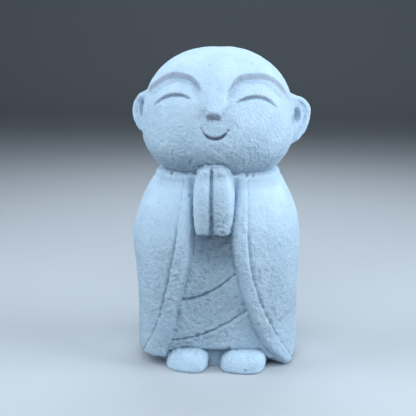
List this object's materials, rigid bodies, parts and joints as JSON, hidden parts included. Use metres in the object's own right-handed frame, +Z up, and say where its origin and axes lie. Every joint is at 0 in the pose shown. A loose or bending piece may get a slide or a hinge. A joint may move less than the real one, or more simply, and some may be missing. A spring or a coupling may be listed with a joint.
{
  "type": "stone jizo statue",
  "caption": "Small cast-stone figure with a round bald head, smiling face, praying hands, open cloak, wrapped robe and bare feet; stands on its flat underside as a desk or garden ornament.",
  "frame": {"origin": "middle of the flat underside, on the ground plane", "axes": "+Z up through the crown, -Y the way the face looks, +X the figure's own left"},
  "size_m": [0.0577, 0.0442, 0.0999],
  "materials": {
    "cement_stone": "pale blue-grey cast cement, matt, fine sandy grain with scattered pinholes"
  },
  "bodies": {
    "root": {"jizo_statue": "cement_stone"}
  },
  "joints": []
}
